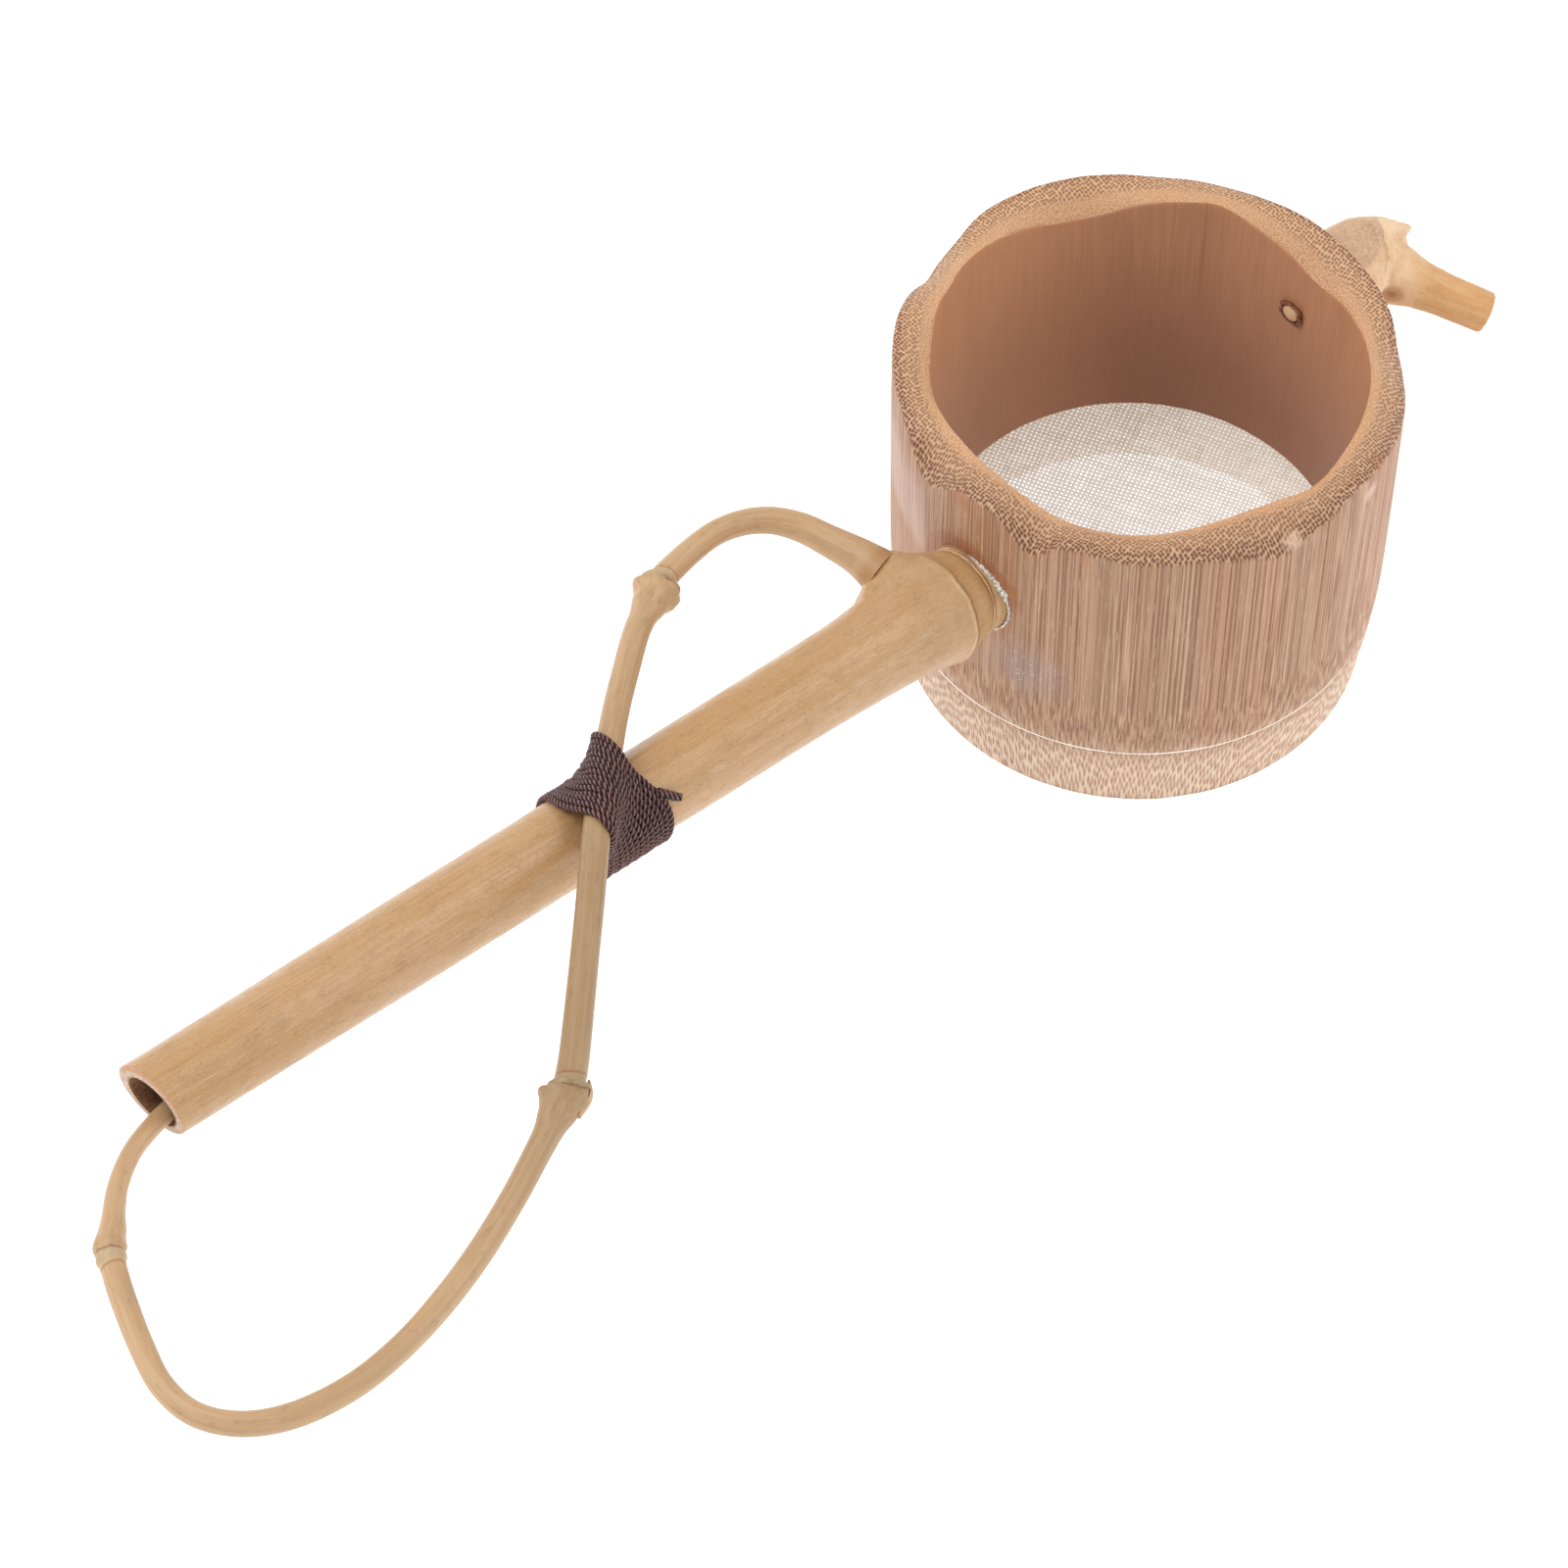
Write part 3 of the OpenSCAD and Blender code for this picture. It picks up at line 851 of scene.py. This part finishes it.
def brown_glue():
    """Dark glue round the peg."""
    f = Finish("brown_glue", 0.45)
    crumb = f.cloud(f.place(), 2.5, detail=4, rough=0.7)
    colour = f.mix(f.rise(crumb, 0.35, 0.6), tint(104, 58, 38), tint(146, 92, 62))
    f.set(Base_Color=colour, Normal=f.bump(crumb, 0.2, 0.8))
    return f


# ---------------- the cup

# Heights of the carved rim at the bore and at the outside: angle in degrees, height
INNER_EDGE = [
    (-175, 55.8), (-162, 54.3), (-149, 53.6), (-134, 54.3), (-117, 55.9), (-104, 56.1),
    (-89, 53.9), (-71, 54.5), (-42, 53.8), (-25, 52.3), (-6, 50.5), (14, 53.3), (26, 55.0),
    (39, 53.8), (62, 51.4), (80, 53.6), (95, 55.1), (103, 55.6), (111, 55.4), (119, 55.8),
    (132, 54.4), (146, 53.6), (157, 55.0), (166, 55.9), (173, 56.1),
]
OUTER_EDGE = [
    (-173, 55.4), (-168, 53.2), (-163.5, 50.9), (-160, 52.2), (-156, 54.3), (-149, 54.8),
    (-142, 54.2), (-133, 54.1), (-124, 54.0), (-113, 52.3), (-105, 50.7), (-100, 52.0),
    (-92, 53.0), (-86, 54.5), (-74, 53.6), (-60, 51.6), (-46, 50.0), (-40, 49.3), (-34, 49.8),
    (-31, 51.4), (-27, 53.1), (-10, 53.8), (7, 54.1), (19, 53.6), (32, 53.4), (45, 53.5),
    (59, 54.5), (77, 54.9), (86, 54.6), (95, 52.3), (102, 51.3), (106, 50.9), (110, 52.2),
    (117, 54.2), (125, 55.9), (136, 55.9), (147, 54.9), (157, 53.2), (162, 50.4), (167, 50.2),
    (172, 52.4), (177, 54.7),
]


def carve(point):
    """The wavy rim, cut with a knife: heights at the bore and at the outside, with a low
    crown between them."""
    angle = math.degrees(math.atan2(point.y, point.x))
    radius = math.hypot(point.x, point.y)
    t = min(max((WALL_R - radius) / (WALL_R - BORE_R), 0.0), 1.0)
    outer, inner = round_curve(OUTER_EDGE, angle), round_curve(INNER_EDGE, angle)
    crown = 0.55 * math.sin(math.pi * t) ** 0.7 if 0 < t < 1 else 0
    facet = 0.22 * lumps(angle / 9, t * 1.5, 3.1) if 0 < t < 1 else 0
    height = outer + (inner - outer) * t + crown + facet
    hold = min(max((point.z - CARVED_Z) / (RIM_Z - CARVED_Z), 0.0), 1.0) ** 2
    lift = hold * (height - RIM_Z)
    shave = 1 + 0.0022 * lumps(point.x / 7, point.y / 7, point.z / 60)
    return Vector((point.x * shave, point.y * shave, point.z + lift))


# Outside of the wall at each height: it draws in slowly towards the linen and the foot
WALL_OUTLINE = [
    (33.44, CLOTH_TOP), (33.48, 12.80), (33.62, 14.5), (33.76, 17), (33.87, 20), (33.96, 25),
    (34.04, 31), (34.10, 37), (34.15, 43), (WALL_R, 48),
]


def knife_marks(obj):
    """Writes how steeply the surface cuts across the upright fibres."""
    steep = [between(abs(vertex.normal.z), 0.10, 0.38) for vertex in obj.data.vertices]
    obj.data.attributes.new("knife", "FLOAT", "POINT").data.foreach_set("value", steep)


def ragged(point):
    """The peg's hole, cut by hand and not quite round."""
    angle = math.atan2(point.y, point.x)
    reach = 1 + 0.22 * lumps(2 * math.cos(angle), 2 * math.sin(angle), 4.4)
    return widened(point, reach)


def cup_body():
    outline = [(28.35, CLOTH_TOP), (30, CLOTH_TOP), (32, CLOTH_TOP)] + WALL_OUTLINE
    outline += [(WALL_R, z) for z in (49, 50, 51, 52, 52.7, 53.3)]
    outline += [(34.17, 53.7), (34.05, RIM_Z)]
    outline += [(34.05 - 4.75 * k / 14, RIM_Z) for k in range(1, 14)]
    outline += [(29.25, RIM_Z), (29.15, 53.85), (29.12, 53.2), (29.1, 51.5), (29.05, 49)]
    outline += [(29.05 - 0.7 * k / 8, 49 - 36.35 * k / 8) for k in range(1, 8)]
    cup = reshape(turned("cup_wall", outline, 360, joined=True), carve)
    knife_marks(cup)
    cut_away(cup, set_down(round_bar(TENON_HOLE_R, 22, 31, 48), ON_HANDLE))
    hole = reshape(turned("peg_hole", [(PEG_HOLE_R, 24), (PEG_HOLE_R, 38)], 40), ragged)
    cut_away(cup, set_down(hole, ON_TWIG))
    give(cup, FINISH["cut"], FINISH["inside"])
    for face in cup.data.polygons:
        centre = face.center / MM
        radius = math.hypot(centre.x, centre.y)
        inward = -(face.normal.x * centre.x + face.normal.y * centre.y) / radius
        face.material_index = int(inward > 0.8 and radius < 29.4)
    return cup


def worn_foot(point):
    """The base ring, not quite round, and worn uneven where it stands."""
    shake = 1 + 0.002 * lumps(point.x / 6, point.y / 6, point.z / 5)
    dip = 0.12 * lumps(point.x / 5, point.y / 5, 7.7)
    low = 1 - between(point.z, 0, 3)
    return Vector((point.x * shake, point.y * shake, max(point.z + dip * low, 0)))


def base_ring():
    outline = [(29.7, CLOTH_UNDER), (BORE_R, 11.85), (BORE_R, 8), (BORE_R, 4), (29.3, 0.3), (29.6, 0.0),
               (30.6, 0.0), (31.55, 0.0), (31.85, 0.12), (32.05, 0.45), (32.2, 1.0), (32.3, 2.0),
               (32.38, 3.5), (32.6, 5), (32.89, 7), (33.1, 8.6), (33.23, 9.8), (33.36, 11.1),
               (CLOTH_R, 12.25), (33.40, CLOTH_UNDER), (32, CLOTH_UNDER)]
    ring = reshape(turned("foot_ring", outline, 360, joined=True), worn_foot)
    knife_marks(ring)
    give(ring, FINISH["cut"])
    return ring


def linen():
    """Thin and open over the outlet, and as thick as its glued edge between the two rims."""
    outline = [(28.2, 12.47), (30.2, 12.46), (32.6, CLOTH_UNDER), (CLOTH_R, CLOTH_UNDER),
               (CLOTH_R, CLOTH_TOP), (32.6, CLOTH_TOP), (30.2, 12.54), (28.2, 12.53)]
    cloth = turned("linen_cloth", outline, 240)
    give(cloth, FINISH["linen"])
    return cloth


# ---------------- handle and branch

# Radius and distance out: the neck and node, and the hollow from the far end inwards
NECK_OUTLINE = [
    (3.0, 32.0), (5.8, 32.0), (6.2, 33.5), (6.42, 34.6), (6.5, 35.4), (6.46, 36.2), (6.38, 36.42),
    (6.52, 36.62), (6.40, 36.90), (6.6, 37.15), (6.8, 37.6), (7.0, 38.2), (7.3, 39.1), (7.55, 39.8),
    (7.66, 40.1), (7.86, 40.4), (7.92, 40.7), (7.72, 41.1), (7.66, 41.7), (7.5, 42.6), (7.2, 43.8),
    (6.9, 45.4), (6.6, 47.4), (6.35, 50), (6.15, 54), (6.02, 58), (5.92, 63), (5.85, 70),
]
HOLLOW_OUTLINE = [
    (3.9, 180), (3.85, 179), (3.8, 176), (3.7, 172), (3.6, 160), (3.5, 120), (3.5, 60),
    (3.2, 54), (1.5, 53),
]


def culm_growth(point):
    """The swelling and shoulder at the culm's node, the worn side of its ring, the neck's
    shift aside and the slight bow of the stem. The hollow stays as it is."""
    before = math.hypot(point.x, point.y)
    if before < 4.5:
        return point
    angle = math.atan2(point.y, point.x)
    worn_off = between(math.cos(angle + math.radians(75)), 0.1, -0.4)
    radius = before - 0.25 * worn_off * bell(point.z - 40.6, 0.5)
    near = bell(point.z - 43, 4)
    fat = 0.35 * near * math.cos(angle - math.radians(50))
    turn = (angle - math.radians(56) + math.pi) % TAU - math.pi
    shoulder = 3.55 * bell(turn, 0.42) * bell(point.z - 44.3, 3.2)
    wobble = 0.10 * lumps(point.x / 4, point.y / 4, point.z / 22)
    scale = (radius + fat + shoulder + wobble) / before
    aside = 1 - between(point.z, 35.5, 43)
    bow = 0.5 * max((point.z - 60) / 115, 0) ** 2
    return Vector((point.x * scale + NECK[0] * aside + bow,
                   point.y * scale + NECK[1] * aside, point.z))


def handle():
    stem = [(5.85 - 0.5 * k / 30, 70 + 105 * k / 30) for k in range(1, 30)]
    outline = NECK_OUTLINE + stem + [(5.33, 179.5), (5.3, 180)] + HOLLOW_OUTLINE
    stick = reshape(turned("culm_handle", outline, 96), culm_growth)
    fresh()
    bpy.ops.mesh.primitive_cube_add(size=60 * MM, location=(0, 0, 30 * MM))
    waste = set_down(bpy.context.object)
    up, aside = math.radians(SAWN_UP), math.radians(SAWN_ASIDE)
    slant = Matrix.Rotation(up, 4, "Y") @ Matrix.Rotation(aside, 4, "X")
    cut_away(stick, set_down(waste, Matrix.Translation((0, 0, SAWN_AT * MM)) @ slant))
    set_down(stick, ON_HANDLE)
    cut_away(stick, set_down(round_bar(34.15, 120)))
    tenon = name_piece(set_down(round_bar(TENON_R, 12, 32.5, 48), ON_HANDLE), "tenon")
    cut_away(tenon, set_down(round_bar(TENON_END_R, 120)))
    join_up(stick, tenon)
    give(stick, FINISH["culm"], FINISH["culm_end"])
    back = ON_HANDLE.inverted()
    for face in stick.data.polygons:
        here = (back @ face.center) / MM
        inside = math.hypot(here.x, here.y) < 4.5 or here.z < 33
        sawn = here.z > 170 and face.area > 2e-6
        face.material_index = int(inside or sawn)
    return stick


# The torn edge of the second node's dry sheath: distance along the branch, off it, radius
SHEATH = ((-3.2, 2.0, 0.3), (-2.0, 2.5, 0.6), (-0.8, 2.8, 0.75), (0.6, 2.7, 0.7), (2.2, 2.4, 0.5))


def dry_sheath(course, marks, knot):
    """A scrap that stands off the branch on the outer side of a node."""
    at = int(np.searchsorted(marks, knot))
    ahead = course[at + 4, :3] - course[at - 4, :3]
    ahead /= np.linalg.norm(ahead)
    aside = np.cross((1, 0, 0), ahead)
    blade = [(*(course[at, :3] + ahead * run + aside * off), wide) for run, off, wide in SHEATH]
    line, line_marks, _ = smooth_course(blade, 0.35)

    def section(i, angle):
        return line[i, 3] * (1 - 0.45 * abs(math.sin(angle)))

    return grown_rod("sheath", line, line_marks, 10, section, up=(1, 0, 0))


def loop_branch():
    course, marks, knots = branch_course()

    def section(i, angle):
        radius, run = course[i, 3], marks[i]
        for knot, rise, lean_top, lean_side in knots:
            d = run - knot - radius * (lean_top * math.cos(angle) + lean_side * math.sin(angle))
            swell = 0.85 * bell(d - 0.5, 1.3) + 0.38 * bell(d - 2.8, 1.9)
            radius += rise * (swell + 0.42 * bell(d + 1.3, 0.4))
            radius -= 0.14 * bell(d + 0.75, 0.26)
            lump = lumps(math.cos(angle) * 1.6 + knot, math.sin(angle) * 1.6, d / 1.3)
            radius += 0.55 * rise * lump * bell(d, 1.8)
        ribs = 0.03 * lumps(math.cos(angle) * 3, math.sin(angle) * 3, run / 30)
        return radius * (1 + ribs + 0.02 * math.cos(2 * angle))

    branch = grown_rod("side_branch", course, marks, 28, section, up=(1, 0, 0))
    join_up(branch, dry_sheath(course, marks, knots[1][0]))
    set_down(branch, ON_HANDLE)
    give(branch, FINISH["branch"])
    return branch


# ---------------- lashing and glue


def wrap_reach(angle, out):
    """How far the cord lies from the handle's line where it goes round the handle and the
    branch on top of it."""
    side = CROSSING_S - CROSSING_DRIFT * (out - CROSSING_OUT)
    clear = 0.51
    least = 1e9
    for k in range(-80, 81, 8):
        t = math.radians(angle + k)
        over = CROSSING_H * math.cos(t) + side * math.sin(t)
        over += math.hypot((1.85 + clear) * math.cos(t), (2.3 + clear) * math.sin(t))
        least = min(least, max(6.19, over) / math.cos(math.radians(k)))
    return least


def cord_turns():
    """The cord's turns, which spread where they cross the branch, and waver a little."""
    turns = []
    for i in range(40 * CORD_TURNS + 1):
        angle = 215 + 9 * i
        turn = i / 40
        over = (angle + 180) % 360 - 180 - 16 + 2 * turn
        out = CORD_START + CORD_PITCH * turn
        out += (3.3 - 0.075 * turn) * bell(over, 45 + turn)
        out += 0.10 * lumps(i / 9, 2.2, 0)
        reach = wrap_reach(angle, out) + 0.12 * lumps(i / 11, 7.2, 0)
        a = math.radians(angle)
        turns.append((reach * math.cos(a), reach * math.sin(a), out))
    return turns


def tail_strand(lift):
    """One of the two strands of the cut tail."""
    aside = 0.4 * lift
    tail = [(5.0 - 0.55 * t + aside, -3.75 - 0.5 * t - aside, 95.6 - 0.9 * t) for t in range(4)]
    course, marks, _ = smooth_course(tail, 0.3)
    return grown_rod("tail", course, marks, 10, lambda i, angle: 0.46 + 0.06 * math.cos(2 * angle))


def lashing():
    course, marks, _ = smooth_course(cord_turns(), 0.3)

    def section(i, angle):
        twist = TAU * marks[i] / CORD_LAY
        return CORD_R * (0.74 + 0.34 * abs(math.cos(PLIES / 2 * (angle - twist))))

    cord = grown_rod("cord_lashing", course, marks, 12, section)
    for lift in (0, 1):
        join_up(cord, tail_strand(lift))
    set_down(cord, ON_HANDLE)
    give(cord, FINISH["cord"])
    return cord


def handle_glue():
    """Beads and crumbs of dried glue where the neck meets the cup, most on the near side."""
    course = []
    tilt = math.radians(HANDLE_TILT)
    for k in range(0, 361, 2):
        a = math.radians(k)
        crumb = lumps(math.cos(a) * 9, math.sin(a) * 9, 1.3)
        lots = bell((k + 52 + 180) % 360 - 180, 34)
        size = 0.15 + 0.20 * lots + (0.05 + 0.22 * lots) * crumb
        reach = NECK_R + 0.08 + 0.4 * size
        h, s = NECK[0] + reach * math.cos(a), NECK[1] + reach * math.sin(a)
        x = -math.sqrt(34.1 ** 2 - s * s)
        u = (-x + h * math.sin(tilt)) / math.cos(tilt)
        course.append((h, s, u + 0.1, max(size, 0.08)))
    course = np.array(course)
    marks = np.linspace(0, TAU * NECK_R, len(course))

    def section(i, angle):
        rough = lumps(course[i, 0] * 3.1, course[i, 1] * 3.1, angle * 0.8)
        return max(course[i, 3] * (1 + 0.8 * rough), 0.06)

    bead = grown_rod("glue_bead", course, marks, 12, section)
    set_down(bead, ON_HANDLE)
    give(bead, FINISH["pale_glue"])
    return bead


# ---------------- rest twig


def gnarled(point):
    """Lumps of the root end, and the hollow of its bud."""
    away = Vector((point.x - 41, point.y, point.z - TWIG_Z)).normalized()
    swell = 0.45 * noise.noise(point / 3.2) + 0.16 * noise.noise(point / 1.1)
    swell *= bell(point.x - 46, 9) * bell(point.y + 2, 9)
    swell -= 1.3 * bell((point - Vector(BUD)).length, 1.5)
    return point + away * swell


def whittled(point):
    reach = 1 + 0.14 * lumps(point.x, point.y, 0)
    return widened(point, reach)


def rest_twig():
    """A gnarled node with a cut stub, a torn splinter and the scar of a bud."""
    outline = [(6.0, 33.5), (6.1, 34.2), (6.25, 36), (6.35, 38.5), (6.4, 40), (6.3, 41.5),
               (5.8, 44), (4.7, 46.2), (3.3, 48.4), (1.8, 50.2), (0.3, 50.9)]
    knuckle = set_down(turned("root_twig", outline, 64), ON_TWIG)
    stub = turned("stub", [(4.3, -2), (5.0, 0), (4.4, 4), (3.35, 7.5), (3.05, 11), (2.95, 18)], 48)
    on_stub = Matrix.Translation(metres(STUB_ROOT)) @ aimed(STUB_AIM).to_matrix().to_4x4()
    set_down(stub, on_stub)
    splinter = turned("splinter", [(2.6, -4), (2.2, -1), (1.6, 1.0), (0.9, 2.6), (0.15, 3.7)], 20)
    torn = Matrix.Translation(metres(SPLINTER_ROOT)) @ aimed(SPLINTER_AIM).to_matrix().to_4x4()
    set_down(splinter, torn)
    join_up(knuckle, stub, splinter)
    modified(knuckle, "REMESH", mode="VOXEL", voxel_size=0.26 * MM)
    modified(knuckle, "SMOOTH", factor=0.5, iterations=4)
    reshape(knuckle, gnarled)
    cut_away(knuckle, set_down(round_bar(34.25, 120, sides=200)))
    peg = turned("peg", [(1.0, 28.3), (1.25, 28.45), (1.35, 28.8), (1.4, 34.5)], 32)
    join_up(knuckle, set_down(reshape(peg, whittled), ON_TWIG))
    give(knuckle, FINISH["root"])
    return knuckle


def crusted(point):
    """Rough where the glue shows inside the cup, and even in the hole."""
    angle = math.atan2(point.y, point.x)
    rough = lumps(2.4 * math.cos(angle), 2.4 * math.sin(angle), 9.1)
    reach = 1 + (0.3 * rough if point.z < 29 else 0.02 * rough)
    return widened(point, reach)


def twig_glue():
    outline = [(1.45, 28.35), (1.7, 28.25), (2.0, 28.45), (1.85, 28.7), (1.7, 29.2),
               (1.7, 33.8), (1.45, 33.8)]
    ring = set_down(reshape(turned("peg_glue", outline, 48, joined=True), crusted), ON_TWIG)
    give(ring, FINISH["brown_glue"])
    return ring


# ---------------- studio


def softbox(name, location, size, power):
    """A square lamp that is turned to the strainer's middle."""
    lamp = bpy.data.lights.new(name, "AREA")
    lamp.shape = "SQUARE"
    lamp.size = size
    lamp.energy = power
    obj = new_object(name, lamp)
    obj.location = location
    obj.rotation_euler = (Vector((0, 0, 0.03)) - Vector(location)).to_track_quat("-Z", "Y").to_euler()
    return obj


def camera():
    lens = bpy.data.cameras.new("camera")
    lens.lens, lens.sensor_width = 135, 36
    lens.clip_start, lens.clip_end = 0.05, 10
    eye = new_object("camera", lens)
    eye.location = (-0.388193, -0.332191, 0.646950)
    eye.rotation_euler = (math.radians(36.54), 0, math.radians(-44))
    bpy.context.scene.camera = eye


def light_table():
    fresh()
    bpy.ops.mesh.primitive_plane_add(size=8, location=(0, 0, 0))
    floor = name_piece(bpy.context.object, "table")
    white = Finish("white_table", 0.9, Emission_Color=(1, 1, 1, 1), Emission_Strength=0.95)
    tone = white.cloud(white.place(), 0.01, detail=1)
    white.set(Base_Color=white.mix(tone, (0.40, 0.40, 0.40, 1), (0.42, 0.42, 0.42, 1)))
    give(floor, white)


def lamps():
    world = bpy.data.worlds.new("studio")
    world.use_nodes = True
    sky = world.node_tree.nodes["Background"]
    sky.inputs["Color"].default_value = (1, 1, 1, 1)
    sky.inputs["Strength"].default_value = 0.75
    bpy.context.scene.world = world
    softbox("key", (-0.5, 0.5, 0.9), 0.7, 6)
    softbox("fill", (0.7, -0.4, 0.8), 0.8, 3)

    # a narrow lamp along the handle, for the gloss on its skin
    strip = softbox("strip", (0.305, -0.650, 0.200), 0.035, 0.50)
    strip.data.shape, strip.data.size_y = "RECTANGLE", 0.46
    toward = (strip.location - Vector((-0.12, 0, 0.05))).normalized()
    across = Vector((-0.393, 0.197, 0.898)).cross(toward).normalized()
    strip.rotation_euler = Matrix((across, toward.cross(across), toward)).transposed().to_euler()


# ---------------- assembly

FINISH = {
    "cut": cut_bamboo(), "inside": inner_skin(), "culm": culm_skin(), "culm_end": culm_end(),
    "branch": branch_skin(), "root": root_skin(), "linen": woven_linen(), "cord": waxed_cord(),
    "pale_glue": pale_glue(), "brown_glue": brown_glue(),
}

camera()
light_table()
lamps()
bpy.context.scene.view_settings.view_transform = "Standard"

# what makes each piece, the angle in degrees from which its edges stay sharp, its CAD node
# and its material slot
PIECES = [
    (cup_body, 38, "cup_body", "bamboo_cut"), (base_ring, 38, "base_ring", "bamboo_cut"),
    (linen, 30, "gauze", "linen"), (handle, 40, "handle", "bamboo_skin"),
    (loop_branch, 50, "loop_branch", "bamboo_branch"), (lashing, 60, "lashing", "waxed_cord"),
    (handle_glue, 60, "handle_glue", "pale_glue"), (rest_twig, 45, "rest_twig", "bamboo_root"),
    (twig_glue, 40, "twig_glue", "brown_glue"),
]
for make, crease, node, slot in PIECES:
    piece = smoothed(make(), crease)
    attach(piece, "root")
    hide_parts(node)
